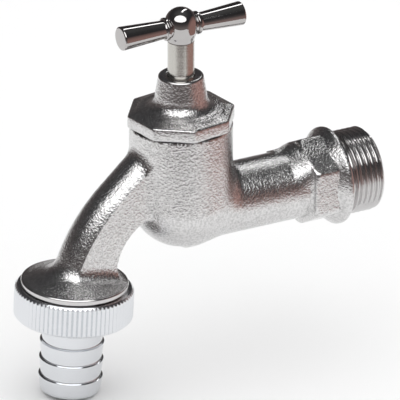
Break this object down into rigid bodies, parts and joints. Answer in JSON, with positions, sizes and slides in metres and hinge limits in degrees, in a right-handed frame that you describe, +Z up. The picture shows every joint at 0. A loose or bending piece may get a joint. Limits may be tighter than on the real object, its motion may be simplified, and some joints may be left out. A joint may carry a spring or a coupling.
{
  "type": "hose bib",
  "caption": "Garden tap with a T-handle, octagonal bonnet, threaded inlet and a knurled union with a barbed hose tail.",
  "frame": {"origin": "on the inlet's axis, at the middle of its threaded length", "axes": "+Y along the inlet to the wall, +Z up along the spindle, spout towards -Y"},
  "size_m": [0.037, 0.1215, 0.1212],
  "materials": {
    "cast_chrome": "matt chrome over a sand-cast brass skin, machined zones brighter",
    "polished_chrome": "polished chrome",
    "bright_chrome": "bright chrome over turned brass",
    "satin_stem": "satin nickel over turned brass",
    "brass": "plain turned brass",
    "spring_steel": "bright spring wire",
    "rubber": "matt black rubber",
    "fibre": "dark grey vulcanised fibre"
  },
  "bodies": {
    "tap_body": {"valve_body": "cast_chrome", "bonnet": "cast_chrome", "bonnet_gasket": "fibre"},
    "jumper": {"jumper": "brass", "jumper_snap_ring": "spring_steel", "tap_washer": "rubber", "washer_nut": "brass"},
    "spindle": {"spindle": "satin_stem", "t_handle": "polished_chrome", "spindle_o_ring_lower": "rubber", "spindle_o_ring_upper": "rubber"},
    "hose_tail": {"hose_tail": "bright_chrome", "hose_gasket": "rubber"},
    "union_nut": {"union_nut": "bright_chrome"}
  },
  "joints": [
    {"name": "jumper_lift", "type": "slide", "parent": "tap_body", "child": "jumper", "axis": [0, 0, 1], "range_m": [0, 0.006]},
    {"name": "spindle_turn", "type": "hinge", "parent": "jumper", "child": "spindle", "pos_m": [0, -0.0597, 0.03], "axis": [0, 0, 1], "range_deg": [0, 1080]},
    {"name": "tail_withdraw", "type": "slide", "parent": "tap_body", "child": "hose_tail", "axis": [0, -0.0516, -0.9987], "range_m": [0, 0.0052]},
    {"name": "nut_turn", "type": "hinge", "parent": "hose_tail", "child": "union_nut", "pos_m": [0, -0.0969, -0.01605], "axis": [0, -0.0516, -0.9987], "range_deg": [0, 810]}
  ],
  "couplings": [
    {"joint": "jumper_lift", "follows": "spindle_turn", "m_per_rad": 0.000318},
    {"joint": "tail_withdraw", "follows": "nut_turn", "m_per_rad": 0.0003675}
  ]
}
